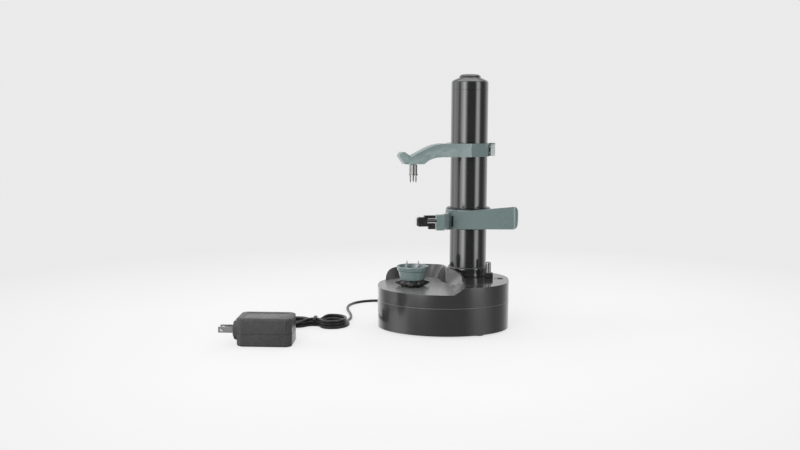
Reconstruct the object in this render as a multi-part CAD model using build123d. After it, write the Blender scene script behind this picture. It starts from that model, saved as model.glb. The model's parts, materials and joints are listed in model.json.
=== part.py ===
from build123d import *
import math
import os

os.makedirs("parts", exist_ok=True)

# ---------------------------------------------------------------- driving dimensions, mm
# All positions below are in a construction frame centred on the base; SHIFT_X moves the
# finished model so that its origin is the middle of the peeler's footprint box.
SHIFT_X = -5.45
SEAM_Z = 33.0            # joint between the lower and the upper shell
DECK_Z = 56.0            # top of the base, beside the column
FLOOR_Z = 48.5           # floor of the catch dish
FOOT_H = 1.6             # rubber feet stand this far out of the bottom
BASE_A = 77.0            # half width of the base
BASE_B = 65.75           # half depth of the rounded ends of the base
BASE_YC = 7.5            # the rounded ends' centres lie this far each side of the middle
WALL = 2.5
HX, HY = -36.0, -11.25   # food turntable axis
CX, CY = 29.45, 34.75    # column axis, 80 mm from the turntable axis
COL_R, COL_RI = 22.0, 20.0
COL_TOP = 278.2
TOTAL_H = 297.0
MOD = 1.0                # gear module
Z_HUB, Z_IDLER, Z_SCREW, Z_SMALL, Z_BIG, Z_MOTOR = 40, 40, 40, 14, 36, 12
LEAD = 6.0               # travel of the carriage for one turn of the screw
GA0, GA1 = 38.0, 43.5    # layer of the turntable, idler and screw gears
GB0, GB1 = 33.0, 37.0    # layer of the first reduction
SLEEVE_Z0, SLEEVE_Z1 = 112.9, 138.0
RING_Z0, RING_Z1 = 114.3, 136.5
RING_R = 27.3
HEAD_AXIS_Z = 129.3
ARM_Z0, ARM_Z1 = 199.5, 215.0
CORD_R = 1.7             # adapter lead, 3.4 mm across

OUT = {}


def put(node, *shapes):
    """Keep a node's solids, moved into the part's own frame."""
    solids = []
    for s in shapes:
        solids += [x.moved(Location((SHIFT_X, 0, 0))) for x in (s.solids() if not isinstance(s, Solid) else [s])]
    OUT[node] = solids[0] if len(solids) == 1 else Compound(children=solids)


def cyl(x, y, z0, z1, r):
    return Pos(x, y, (z0 + z1) / 2) * Cylinder(r, z1 - z0)


def tube(x, y, z0, z1, ro, ri):
    return cyl(x, y, z0, z1, ro) - cyl(x, y, z0 - 1, z1 + 1, ri)


def box(x0, x1, y0, y1, z0, z1):
    return Pos((x0 + x1) / 2, (y0 + y1) / 2, (z0 + z1) / 2) * Box(x1 - x0, y1 - y0, z1 - z0)


def prism(pts, z0, z1):
    """Upright prism over a plan polygon."""
    return Pos(0, 0, z0) * extrude(make_face(Polyline(*pts, close=True)), z1 - z0)


def front_prism(pts, y0, y1):
    """Prism along Y over a polygon of (x, z)."""
    f = make_face(Polyline(*[(x, 0, z) for x, z in pts], close=True))
    s = extrude(f, y1 - y0, dir=(0, 1, 0))
    return Pos(0, y0, 0) * s


def side_prism(pts, x0, x1):
    """Prism along X over a polygon of (y, z)."""
    f = make_face(Polyline(*[(0, y, z) for y, z in pts], close=True))
    s = extrude(f, x1 - x0, dir=(1, 0, 0))
    return Pos(x0, 0, 0) * s


def lathe(x, y, pts):
    """Turned solid about an upright axis, from (r, z) points."""
    f = make_face(Polyline(*[(r, 0, z) for r, z in pts], close=True))
    return Pos(x, y, 0) * revolve(f, Axis.Z, 360)


def outline(off):
    a, b = BASE_A - off, BASE_B - off
    return (Pos(0, -BASE_YC) * Ellipse(a, b)) + (Pos(0, BASE_YC) * Ellipse(a, b)) + Rectangle(2 * a, 2 * BASE_YC)


def base_prism(off, z0, z1):
    return Pos(0, 0, z0) * extrude(outline(off), z1 - z0)


def gear(x, y, teeth, z0, z1, bore, phase_deg, add=0.92, ded=1.2, thin=0.22):
    """Spur gear, 20 degree involute teeth, one tooth centred on phase_deg."""
    rp = MOD * teeth / 2
    rb = rp * math.cos(math.radians(20))
    ra, rf = rp + add * MOD, rp - ded * MOD
    inv20 = math.tan(math.radians(20)) - math.radians(20)
    half = math.pi / (2 * teeth) - thin / (2 * rp)
    rs = max(rb, rf + 0.05)
    flank = []
    for k in range(4):
        r = rs + (ra - rs) * k / 3
        al = math.acos(min(1.0, rb / r))
        flank.append((r, half + inv20 - (math.tan(al) - al)))
    if rb > rf + 0.1:
        flank.insert(0, (rf, flank[0][1]))
    pts = []
    for t in range(teeth):
        c = math.radians(phase_deg) + 2 * math.pi * t / teeth
        for r, h in flank:
            pts.append((x + r * math.cos(c - h), y + r * math.sin(c - h)))
        for r, h in reversed(flank):
            pts.append((x + r * math.cos(c + h), y + r * math.sin(c + h)))
    return prism(pts, z0, z1) - cyl(x, y, z0 - 1, z1 + 1, bore)


def mesh_phase(phase_a, za, theta_deg, zb):
    """Phase of the second gear so that its gap meets the first gear's tooth on the line of centres."""
    ua = ((phase_a - theta_deg) * za / 360.0) % 1.0
    return theta_deg + 180 + (0.5 - ua) * 360.0 / zb


def polar(x, y, r, deg):
    return x + r * math.cos(math.radians(deg)), y + r * math.sin(math.radians(deg))


LINE = math.degrees(math.atan2(CY - HY, CX - HX))
MX, MY = polar(HX, HY, 40.0, LINE)                 # idler axis
GX, GY = polar(HX, HY, MOD * (Z_HUB + Z_SMALL) / 2, 112)   # reduction gear axis
NX, NY = polar(GX, GY, MOD * (Z_BIG + Z_MOTOR) / 2, 62)    # motor axis

# ---------------------------------------------------------------- catch dish
DISH_LOW = [(12, -98), (12.5, -60), (12.5, -30), (10.5, -6), (5, 9), (-1.5, 23), (-4, 38), (-11, 50), (-32, 55), (-57, 42), (-72, 22), (-90, 0), (-104, -50), (-60, -98)]
DISH_TOP = [(40, -98), (40, -60), (39, -28), (28, -5), (14, 11.5), (3.5, 25), (1.0, 44), (-6, 63), (-33, 66), (-61, 49), (-76, 27), (-96, 0), (-112, -50), (-60, -106)]


def dish(grow, z0, z1):
    """The hollow of the dish, or with grow the same wall set further out."""
    def ring(pts, z):
        out = []
        for i, (x, y) in enumerate(pts):
            (xa, ya), (xb, yb) = pts[i - 1], pts[(i + 1) % len(pts)]
            tx, ty = xb - xa, yb - ya
            n = math.hypot(tx, ty)
            out.append((x + grow * ty / n, y - grow * tx / n, z))
        return Face(Wire([Spline(*out, periodic=True)]))
    f = (z1 - FLOOR_Z) / (66.0 - FLOOR_Z)
    top = [(a + (c - a) * f, b + (d - b) * f) for (a, b), (c, d) in zip(DISH_LOW, DISH_TOP)]
    g = (z0 - FLOOR_Z) / (66.0 - FLOOR_Z)
    low = [(a + (c - a) * g, b + (d - b) * g) for (a, b), (c, d) in zip(DISH_LOW, DISH_TOP)]
    return loft([ring(low, z0), ring(top, z1)])


hollow = dish(0, FLOOR_Z, 70.0)
shell_in = dish(2.4, FLOOR_Z, 70.0)
guard = (base_prism(0, 50.0, 68.0) & shell_in) - hollow
guard = guard & side_prism([(-36, 54.4), (-28, 55.2), (-21, 56.6), (-14, 58.4), (-7, 60.3), (0, 62.0), (7, 63.4), (14, 64.9), (22, 65.6), (32, 65.7), (44, 65.2), (58, 64.2), (74, 63.0), (80, 63.0), (80, 45), (-90, 45), (-90, 54.4)], -82, 45)
guard = guard - cyl(CX, CY, 40, 80, 24.7)

upper = base_prism(0, SEAM_Z, DECK_Z) - hollow
upper = upper + guard
# the wall ends short of the rim on the left, and is a little lower there
upper = upper - front_prism([(-69.6, FLOOR_Z), (-69.2, 54.0), (-67.8, 57.6), (-65.4, 60.0), (-62.0, 61.3), (-50.0, 62.6), (-30.0, 64.4), (-12.0, 66.0), (-12.0, 80), (-95, 80), (-95, FLOOR_Z)], -90, 90)
upper = upper - base_prism(WALL, SEAM_Z - 1, 46.0)
deck_pocket = base_prism(WALL, 45.0, 53.4) & box(26, 90, -90, 70, 45, 54)
deck_pocket = deck_pocket - cyl(CX, CY, 40, 60, 27.0) - box(20, 42, 30, 90, 40, 60)
upper = upper - deck_pocket
upper = upper + (cyl(HX, HY, 44.2, 47.0, 9.0))
# socket of the column, and the hole for the drive screw under it
upper = upper - cyl(CX, CY, 50.0, 70.0, COL_R + 0.05) - cyl(CX, CY, 40.0, 60.0, 17.0)
upper = upper - cyl(HX, HY, 40.0, 60.0, 6.0)
SWX, SWY = 53.4, 8.6
upper = upper - cyl(SWX, SWY, 50.0, 60.0, 3.7)
# rebate that centres the two shells
upper = upper - base_prism(1.2, SEAM_Z - 1, SEAM_Z + 2.0)
# screw posts of the shells
POSTS = [(-62, -31), (66, -24), (62, 30), (-52, 42)]
for px, py in POSTS:
    top = 46.6 if px < 20 else 53.6
    upper = upper + cyl(px, py, 34.0, top, 4.2)
    upper = upper - cyl(px, py, 30.0, 44.0, 1.25)
put("upper_shell", upper)

lower = base_prism(0, FOOT_H, SEAM_Z) - base_prism(WALL, FOOT_H + WALL, SEAM_Z + 1)
lip = base_prism(1.3, SEAM_Z - 6, SEAM_Z + 1.8) - base_prism(WALL, SEAM_Z - 7, SEAM_Z + 3)
lower = lower + lip
for px, py in POSTS:
    lower = lower + cyl(px, py, 3.0, 33.9, 4.2)
    lower = lower - cyl(px, py, -1.0, 40.0, 1.75) - cyl(px, py, -1.0, 14.0, 3.1)
# boss that carries the foot of the turntable shaft
lower = lower + cyl(HX, HY, 3.0, 12.0, 8.0) - cyl(HX, HY, 6.0, 13.0, 4.06)
# three pillars for the gear plate
PILLARS = [(-8, -14), (12, 52), (-64, 30)]
for px, py in PILLARS:
    lower = lower + cyl(px, py, 3.0, 30.0, 3.6) - cyl(px, py, 20.0, 31.0, 1.1)
# pillars for the circuit board
for px, py in [(49, -5), (66, 10)]:
    lower = lower + cyl(px, py, 3.0, 34.4, 3.0)
# battery bay: four cells side by side in two layers, door underneath
BX0, BX1, BY0, BY1 = 1.0, 55.0, -46.0, -14.0
bay_wall = box(BX0 - 1.6, BX1 + 1.6, BY0 - 1.6, BY1 + 1.6, 3.0, 33.8) - box(BX0, BX1, BY0, BY1, 2.0, 32.2)
lower = lower + (bay_wall & base_prism(2.6, 0, 40))
lower = lower - box(BX0, BX1, BY0, BY1, 1.0, 30.0)
lower = lower - box(BX0 - 2.2, BX1 + 2.2, BY0 - 2.2, BY1 + 2.2, 1.0, FOOT_H + 1.5)
# door screw boss
lower = lower + (box(BX0 - 9.5, BX0 - 1.0, -34, -26, FOOT_H, 16) - cyl(BX0 - 5.4, -30, 0, 12, 1.1))
lower = lower - box(BX0 - 10, BX0 + 1, -34.4, -25.6, 1.0, FOOT_H + 1.5) - cyl(BX0 - 5.4, -30, 0, 12, 1.1)
lower = lower - box(BX0, BX1, BY0, BY1, 1.0, 30.0)
# shelf for the spare blades, open to the underside
lower = lower - box(-66, -38, -16, 10, 1.0, FOOT_H + 0.2)
# barrel jack opening in the rear wall
JX = -30.0
JY = BASE_YC + BASE_B * math.sqrt(1 - (JX / BASE_A) ** 2)
jn = (JX / BASE_A**2, (JY - BASE_YC) / BASE_B**2)
jl = math.hypot(*jn)
JN = (jn[0] / jl, jn[1] / jl)
JZ = 14.0
JANG = math.degrees(math.atan2(JN[1], JN[0]))


def along_jack(d0, d1, r):
    """Cylinder along the jack's axis, from d0 to d1 outside the shell's face."""
    return Pos(JX + JN[0] * (d0 + d1) / 2, JY + JN[1] * (d0 + d1) / 2, JZ) * Rot(0, 0, JANG) * Rot(0, 90, 0) * Cylinder(r, d1 - d0)


lower = lower - along_jack(-6, 4, 5.6)
put("lower_shell", lower)

# ---------------------------------------------------------------- small parts of the base
put("rubber_feet", *[cyl(x, y, 0, FOOT_H, 7.0) for x, y in [(-50, -40), (40, -52), (54, 38), (-48, 45)]])
# the heads sit against the counterbore's shoulder at z 14, inside the post
lower_screws = []
for px, py in POSTS:
    h = cyl(px, py, 11.7, 14.0, 2.9) + cyl(px, py, 13.9, 43.0, 1.25)
    h = h - (Pos(px, py, 11.7) * Box(0.7, 4.0, 1.4)) - (Pos(px, py, 11.7) * Box(4.0, 0.7, 1.4))
    lower_screws.append(h)
put("shell_screws", *lower_screws)

door = box(BX0 - 2, BX1 + 2, BY0 - 2, BY1 + 2, FOOT_H, FOOT_H + 1.4) + box(BX0 - 9.6, BX0 - 1.5, -34.2, -25.8, FOOT_H, FOOT_H + 1.4)
door = door + box(BX0 + 1, BX1 - 1, BY0 + 0.4, BY0 + 1.8, FOOT_H + 1, FOOT_H + 5)
door = door - cyl(BX0 - 5.4, -30, 0, 5, 1.5)
put("battery_door", door & base_prism(0.4, 0, 10))
ds = cyl(BX0 - 5.4, -30, 0.4, FOOT_H, 2.6) + cyl(BX0 - 5.4, -30, FOOT_H - 0.1, 10.5, 1.1)
put("door_screw", ds - (Pos(BX0 - 5.4, -30, 0.4) * Box(0.6, 3.6, 1.2)) - (Pos(BX0 - 5.4, -30, 0.4) * Box(3.6, 0.6, 1.2)))

# battery contacts: flat plates and short coil ends at each end of the bay
contacts = []
for yy in (-38, -22):
    for zz in (11, 26):
        contacts.append(box(BX0 + 0.02, BX0 + 0.5, yy - 5, yy + 5, zz - 5, zz + 5))
        plate = box(BX1 - 0.5, BX1 - 0.02, yy - 5, yy + 5, zz - 5, zz + 5)
        spring = Pos(BX1 - 2.2, yy, zz) * Rot(0, 90, 0) * Cone(3.2, 4.2, 3.6)
        spring = spring - Pos(BX1 - 2.2, yy, zz) * Rot(0, 90, 0) * Cone(2.5, 3.5, 3.7)
        contacts.append(plate + spring)
put("battery_contacts", *contacts)

# gear plate on its three pillars
plate = cyl(MX, MY, 30, 32, 9) + cyl(GX, GY, 30, 32, 9) + cyl(NX, NY, 30, 32, 13.5) + cyl(CX, CY, 30, 32, 10)
for px, py in PILLARS:
    plate = plate + cyl(px, py, 30, 32, 5)


def strip(p, q, w, z0, z1):
    d = math.hypot(q[0] - p[0], q[1] - p[1])
    a = math.degrees(math.atan2(q[1] - p[1], q[0] - p[0]))
    return Pos((p[0] + q[0]) / 2, (p[1] + q[1]) / 2, (z0 + z1) / 2) * Rot(0, 0, a) * Box(d, w, z1 - z0)


for p, q in [((MX, MY), (CX, CY)), ((MX, MY), PILLARS[0]), ((CX, CY), PILLARS[1]), ((GX, GY), PILLARS[2]), ((GX, GY), (NX, NY)), ((NX, NY), (MX, MY)), ((NX, NY), PILLARS[1])]:
    plate = plate + strip(p, q, 9, 30, 32)
plate = plate - cyl(NX, NY, 29, 33, 4.0) - cyl(CX, CY, 29, 33, 5.0)
for px, py in PILLARS:
    plate = plate - cyl(px, py, 29, 33, 1.5)
plate = plate - cyl(MX, MY, 29, 33, 2.0) - cyl(GX, GY, 29, 33, 2.0)
for s in (-1, 1):
    plate = plate - cyl(NX + 8 * s, NY, 29, 33, 1.3)
put("gear_plate", plate)
put("plate_screws", *[(cyl(px, py, 32, 33.8, 2.7) + cyl(px, py, 21, 32.1, 1.1)) - (Pos(px, py, 33.8) * Box(0.7, 4, 1.2)) for px, py in PILLARS])
put("idler_axle", cyl(MX, MY, 28.6, 45.0, 2.0))
put("reduction_axle", cyl(GX, GY, 28.6, 45.4, 2.0))
motor = (cyl(NX, NY, 5.2, 30.0, 12.0) & box(NX - 20, NX + 20, NY - 10, NY + 10, 0, 40)) - cyl(NX, NY, 27.9, 31, 3.6)
motor = motor + (cyl(NX, NY, 4.2, 5.4, 4.5))
motor = motor - cyl(NX, NY, 4.0, 31, 1.25)
for s in (-1, 1):
    motor = motor - cyl(NX + 8 * s, NY, 29.5, 31, 1.2)
put("motor", motor)
put("motor_screws", *[(cyl(NX + 8 * s, NY, 32, 33.0, 2.0) + cyl(NX + 8 * s, NY, 29.6, 32.1, 1.2)) - (Pos(NX + 8 * s, NY, 33.0) * Box(0.6, 3, 0.8)) for s in (-1, 1)])
# the plate's screw heads stay under the first gear of the train
put("hub_bush", lathe(HX, HY, [(4.06, 44.3), (6.0, 44.3), (6.0, 48.5), (8.2, 48.5), (8.2, 49.2), (4.06, 49.2)]))
put("screw_bush", lathe(CX, CY, [(3.06, 29.0), (4.95, 29.0), (4.95, 32.0), (7.0, 32.0), (7.0, 33.0), (3.06, 33.0)]))

# ---------------------------------------------------------------- column
slot_z0, slot_z1 = 70.0, 268.0
col = tube(CX, CY, 50.0, COL_TOP, COL_R, COL_RI)
col = col - (box(CX - 4, CX + 4, CY + 15, CY + 30, slot_z0 + 4, slot_z1 - 4) + (Pos(CX, CY + 22, slot_z0 + 4) * Rot(90, 0, 0) * Cylinder(4, 14)) + (Pos(CX, CY + 22, slot_z1 - 4) * Rot(90, 0, 0) * Cylinder(4, 14)))
put("column_tube", col)
cap = lathe(CX, CY, [(0, 272.0), (19.85, 272.0), (19.85, COL_TOP), (COL_R, COL_TOP), (COL_R, 286.6), (21.6, 287.9), (20.2, 289.3), (15.4, 291.6), (13.3, 292.2), (12.9, 293.3), (12.2, 294.9), (10.4, 296.1), (7.0, 296.7), (3.0, 296.95), (0, TOTAL_H)])
cap = cap - cyl(CX, CY, 271, 277.0, 7.0) - tube(CX, CY, 270, 286.0, 18.0, 9.5)
put("column_cap", cap)
put("top_bearing", lathe(CX, CY, [(3.06, 270.5), (7.9, 270.5), (7.9, 272.0), (6.98, 272.0), (6.98, 276.9), (3.06, 276.9)]))
put("column_collar", lathe(CX, CY, [(COL_R + 0.05, DECK_Z), (24.5, DECK_Z), (24.5, 57.6), (24.0, 60.0), (24.2, 65.6), (23.4, 67.0), (COL_R + 0.05, 67.0)]))

# ---------------------------------------------------------------- food turntable
put("hub_shaft", cyl(HX, HY, 6.4, 53.6, 4.0))
ph_h = 0.0
put("hub_gear", gear(HX, HY, Z_HUB, GA0, GA1, 4.0, ph_h) + tube(HX, HY, GA0 - 4, GA0 + 0.1, 7, 4.0))
hub = lathe(HX, HY, [(4.0, 49.5), (12.6, 49.2), (14.2, 50.0), (15.8, 52.6), (14.9, 55.0), (13.7, 56.5), (0.0, 56.5), (0.0, 53.65), (4.0, 53.65)])
for k in range(4):
    a = 6 + 90 * k
    wing = prism([(8.0, -6.4), (13.6, -5.6), (20.2, -0.7), (20.2, 0.7), (13.6, 5.6), (8.0, 6.4)], 49.4, 56.3)
    wing = wing & front_prism([(6.0, 49.6), (13.0, 49.8), (20.3, 52.4), (20.3, 53.8), (14.6, 56.1), (6.0, 56.1)], -9, 9)
    hub = hub + (Pos(HX, HY, 0) * Rot(0, 0, a) * wing)
put("drive_hub", hub)
cup = lathe(HX, HY, [(0, 56.5), (13.9, 56.5), (14.5, 57.2), (15.2, 60.0), (16.7, 66.9), (17.7, 67.5), (18.4, 70.2), (18.7, 72.0), (18.2, 72.8), (17.2, 72.5), (15.6, 68.0), (14.0, 60.4), (13.2, 59.0), (0, 59.0)])
put("food_cup", cup)
spikes = cyl(HX, HY, 59.0, 60.0, 12.0)
for k in range(4):
    sx, sy = polar(HX, HY, 9.6, 45 + 90 * k)
    spikes = spikes + cyl(sx, sy, 59.5, 72.0, 1.2) + (Pos(sx, sy, 75.0) * Cone(1.2, 0.15, 6.0))
put("cup_prongs", spikes)

# ---------------------------------------------------------------- gears
ph_m = mesh_phase(ph_h, Z_HUB, LINE, Z_IDLER)
put("idler_gear", gear(MX, MY, Z_IDLER, GA0, GA1, 2.06, ph_m) + tube(MX, MY, 33.0, GA0 + 0.1, 5, 2.06))
ph_c = mesh_phase(ph_m, Z_IDLER, LINE, Z_SCREW)
put("screw_gear", gear(CX, CY, Z_SCREW, GA0, GA1, 3.0, ph_c) + tube(CX, CY, 34.0, GA0 + 0.1, 6.5, 3.0))
ang_g = math.degrees(math.atan2(GY - HY, GX - HX))
ph_s = mesh_phase(ph_h, Z_HUB, ang_g, Z_SMALL)
ph_b = 3.0
red = gear(GX, GY, Z_BIG, GB0, GB1, 2.06, ph_b) + gear(GX, GY, Z_SMALL, GB1 - 0.05, GA1, 2.06, ph_s)
put("reduction_gear", red)
ang_n = math.degrees(math.atan2(NY - GY, NX - GX))
ph_n = mesh_phase(ph_b, Z_BIG, ang_n, Z_MOTOR)
put("motor_pinion", gear(NX, NY, Z_MOTOR, GB0 + 0.3, GB1, 1.2, ph_n))
put("motor_shaft", cyl(NX, NY, 4.6, 37.6, 1.2))
print("axes (part frame): idler %.3f %.3f  reduction %.3f %.3f  motor %.3f %.3f" % (MX + SHIFT_X, MY, GX + SHIFT_X, GY, NX + SHIFT_X, NY))

# lead screw: round-thread bar with one start, pinned at both ends
PIN_Z = 123.0
SC_Z0, SC_Z1 = 62.0, 268.0
turn = 360.0 * (SC_Z1 - SC_Z0) / LEAD
psi0 = -90.0 - 360.0 * (PIN_Z - SC_Z0) / LEAD
ex, ey = polar(0, 0, 0.9, psi0)
thread = Solid.extrude_linear_with_rotation(Face(Wire([Edge.make_circle(4.2, Plane(origin=(CX + ex, CY + ey, SC_Z0)))])), (CX, CY, SC_Z0), (0, 0, SC_Z1 - SC_Z0), turn)
print("thread volume %.0f, plain bar %.0f" % (thread.volume, math.pi * 4.2**2 * (SC_Z1 - SC_Z0)))
screw = thread + cyl(CX, CY, 29.2, SC_Z0 + 0.5, 3.0) + cyl(CX, CY, SC_Z1 - 0.5, 276.4, 3.0) + cyl(CX, CY, 44.0, SC_Z0, 5.2)
put("lead_screw", screw)

# ---------------------------------------------------------------- carriage on the column
sleeve = tube(CX, CY, SLEEVE_Z0, SLEEVE_Z1, 23.9, COL_R + 0.06)
sleeve = sleeve + tube(CX, CY, SLEEVE_Z0, SLEEVE_Z0 + 1.2, 25.8, COL_R + 0.06) + tube(CX, CY, SLEEVE_Z1 - 1.2, SLEEVE_Z1, 25.8, COL_R + 0.06)
sleeve = sleeve + (box(CX - 3.7, CX + 3.7, CY + 14.0, CY + 23.0, 113.0, 133.0))
put("carriage_sleeve", sleeve)
nut = box(CX - 6, CX + 6, CY + 7.2, CY + 14.0, 114.0, 132.0)
nut = nut + (Pos(CX, CY + 5.8, PIN_Z) * Rot(90, 0, 0) * Cylinder(1.15, 3.0))
put("half_nut", nut)
coil = None
hel = Helix(pitch=1.7, height=7.65, radius=24.95)
hel = Pos(CX, CY, 117.2) * hel
spring_wire = sweep(Plane(origin=hel @ 0, z_dir=hel % 0) * Circle(0.45), path=hel, is_frenet=True)
put("torsion_spring", spring_wire)

# ---------------------------------------------------------------- peeling arm
ring = tube(CX, CY, RING_Z0, RING_Z1, RING_R, 24.0) - cyl(CX, CY, 116.0, 126.4, 25.8)
lever_plan = [(3.0, 4.5), (80.0, 4.9), (83.6, 5.9), (86.4, 8.2), (87.9, 11.2), (86.2, 12.2), (84.9, 9.8), (82.6, 8.0), (79.6, 7.7), (3.0, 7.6)]
lever = prism(lever_plan, 108, 146) & front_prism([(3.0, 114.0), (3.0, 133.4), (7.0, 134.0), (82.5, 141.3), (84.4, 141.0), (86.0, 139.8), (87.2, 137.6), (88.0, 133.0), (88.0, 124.0), (87.2, 119.0), (85.8, 116.2), (84.4, 115.2), (82.5, 114.7)], 0, 20)
lever = lever - box(8.8, 11.4, 0, 20, 116.8, 129.8)
web = (box(12, 47, 7.3, 15, 114.5, 134.0) - cyl(CX, CY, 100, 150, RING_R - 1.2)) & (box(0, 60, 0, CY, 100, 150))
side = (box(1.9, 8.0, 4.6, 27.0, 113.8, 134.5) - cyl(CX, CY, 100, 150, RING_R - 1.2))


def offset_path(pts, w):
    """Plan outline of a strip of width w about a path."""
    left, right = [], []
    for i, (x, y) in enumerate(pts):
        (xa, ya), (xb, yb) = pts[max(0, i - 1)], pts[min(len(pts) - 1, i + 1)]
        n = math.hypot(xb - xa, yb - ya)
        nx, ny = -(yb - ya) / n, (xb - xa) / n
        left.append((x + nx * w / 2, y + ny * w / 2))
        right.append((x - nx * w / 2, y - ny * w / 2))
    return left + right[::-1]


hook_path = [(4.2, 12.0), (4.6, 4.0), (4.9, -6.0), (4.6, -15.0), (3.2, -23.0), (0.8, -30.0), (-2.6, -36.0), (-5.2, -39.4)]
hook = prism(offset_path(hook_path, 3.4), 112, 140)
hook = hook & side_prism([(20, 113.2), (4, 113.4), (-12, 116.0), (-34, 118.4), (-46, 118.4), (-46, 135.8), (-34, 135.8), (-12, 135.2), (4, 134.2), (20, 134.2)], -30, 20)
# boss at the end of the hook that carries the blade pin
DX, DY = -0.976, -0.218                      # the pin runs this way, along the food's surface
PX, PY = -8.8, -42.2                         # where the pin leaves the boss
HEAD_ANG = math.degrees(math.atan2(DY, DX))


def head_box(l0, l1, w0, w1, z0, z1):
    """Block along the pin: l from the boss towards the tip, w outwards from the food."""
    cx = PX + DX * (l0 + l1) / 2 + -DY * 0
    ox, oy = 0.218, -0.976                   # outward from the food
    mx = PX + DX * (l0 + l1) / 2 + ox * (w0 + w1) / 2
    my = PY + DY * (l0 + l1) / 2 + oy * (w0 + w1) / 2
    return Pos(mx, my, (z0 + z1) / 2) * Rot(0, 0, HEAD_ANG) * Box(l1 - l0, w1 - w0, z1 - z0)


def head_rod(l0, l1, r):
    return Pos(PX + DX * (l0 + l1) / 2, PY + DY * (l0 + l1) / 2, HEAD_AXIS_Z) * Rot(0, 0, HEAD_ANG) * Rot(0, 90, 0) * Cylinder(r, l1 - l0)


boss = head_box(-9.2, 0.0, -4.4, 4.4, 118.4, 135.8)
arm = ring + lever + web + side + hook + boss
arm = arm - head_rod(-7.0, 2.0, 2.03)
put("peel_arm", arm)

# blade head, rocking on its pin
put("head_pin", head_rod(-6.9, 19.0, 2.0))
head = head_box(10.6, 21.0, -3.6, 3.6, 123.0, 133.4)
head = head + head_box(1.2, 12.0, -2.8, 2.8, 132.0, 135.3) + head_box(10.0, 14.0, -2.8, 2.8, 131.8, 135.3)
head = head + head_box(1.4, 9.2, -2.8, 2.8, 119.8, 126.6) + head_box(8.8, 12.0, -2.8, 2.8, 123.0, 126.6)
head = head - head_rod(0.0, 19.3, 2.06)
put("blade_head", head)
blade = head_box(12.0, 22.6, -4.5, -3.6, 124.0, 132.4) - head_box(19.0, 20.4, -6, 0, 125.2, 131.2)
blade = blade + head_box(21.0, 22.6, -4.5, 1.6, 124.0, 132.4)
put("blade", blade)

# ---------------------------------------------------------------- upper arm
# front line of the arm in plan, from the collar to above the turntable
AX, AY = 32.0, 2.85
TX, TY = -0.94955, -0.31360
NXa, NYa = 0.31360, -0.94955


def on_arm(s, n):
    return AX + TX * s + NXa * n, AY + TY * s + NYa * n


prof = [(0, 215.0), (26.7, 215.0), (36.2, 215.2), (44.7, 213.8), (52.3, 211.1), (59.0, 207.8), (65.9, 204.4), (70.4, 202.0), (73.2, 200.0),
        (80.4, 205.6), (84.6, 205.6), (88.2, 201.8), (80.6, 191.8), (58.1, 191.7), (52.2, 196.1), (47.1, 198.0), (42.0, 199.3), (35.2, 199.6), (0, 199.5)]
pl = Plane(origin=(AX, AY, 0), x_dir=(TX, TY, 0), z_dir=(NXa, NYa, 0))
# local y of this plane is z_dir x x_dir, which points up or down; take the sign from it
up = 1 if pl.y_dir.Z > 0 else -1
side_face = pl * make_face(Polyline(*[(s, up * z) for s, z in prof], close=True))
arm_web = extrude(side_face, 20, dir=(-NXa, -NYa, 0)) + extrude(side_face, 0.01, dir=(NXa, NYa, 0))
plan_pts = [on_arm(0, 0.0), on_arm(30, 0.0), on_arm(62, 0.0), on_arm(76, -0.4), on_arm(87.0, -2.2), on_arm(88.6, -7.4), on_arm(87.0, -13.0), on_arm(76, -15.4), on_arm(62, -16.0), on_arm(45, -17.0), on_arm(30, -20.0), on_arm(0, -20.0)]
arm_web = arm_web & prism(plan_pts, 185, 220)
arm_web = arm_web & prism([on_arm(-6, 1), on_arm(95, 1), on_arm(95, -30), on_arm(-6, -30)], 185, 220)
back = prism([on_arm(36, -16.5), on_arm(30, -19.5), on_arm(24, -24), on_arm(18, -30), (2.5, 36.0), (14, 30), on_arm(0, -4), on_arm(36, -2)], ARM_Z0, ARM_Z1)
collar = prism([(30.8, 2.6), (46.7, 16.9), (51.2, 22.6), (53.3, 27.5), (53.3, 46.5), (47.5, 55.6), (36.5, 61.2), (22.5, 61.2), (11.0, 55.4), (3.4, 45.0), (1.8, 34.0), (6.0, 18.0), (14.0, 8.2)], ARM_Z0, ARM_Z1)
upper_arm = collar + back + arm_web
upper_arm = upper_arm - cyl(CX, CY, 190, 220, COL_R + 0.06)
upper_arm = upper_arm + box(CX - 3.6, CX + 3.6, CY + 20.6, CY + 24.0, 201.5, 213.0)
LVX, LVY = 57.4, 43.4
for z0, z1 in ((ARM_Z0, 202.6), (210.9, ARM_Z1)):
    upper_arm = upper_arm + cyl(LVX, LVY, z0, z1, 3.5) + box(52.0, 57.4, 41.6, 46.2, z0, z1)
upper_arm = upper_arm - cyl(LVX, LVY, 190, 220, 1.5)
upper_arm = upper_arm - cyl(HX, HY, 185, 199.0, 3.06)
put("upper_arm", upper_arm)
put("lever_pin", cyl(LVX, LVY, ARM_Z0 + 0.2, ARM_Z1 - 0.2, 1.5))
rel = box(55.0, 60.0, 25.0, 38.6, 200.1, 213.6) + box(56.0, 59.6, 38.0, 41.0, 203.2, 210.3) + cyl(LVX, LVY, 203.2, 210.3, 3.2)
rel = rel - cyl(LVX, LVY, 190, 220, 1.56)
rel = rel + (Pos(LVX, LVY, 0) * Rot(0, 0, 0) * prism([(-3.9, -2.6), (-3.6, 1.0), (-1.7, 2.4), (-2.0, -2.6)], 203.4, 210.1)) - cyl(LVX, LVY, 190, 220, 1.56)
put("release_lever", rel)
spin = cyl(HX, HY, 180.0, 190.9, 4.6) + cyl(HX, HY, 190.8, 198.4, 3.0)
put("spindle", spin)
pr = cyl(HX, HY, 178.6, 180.0, 5.2)
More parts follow.
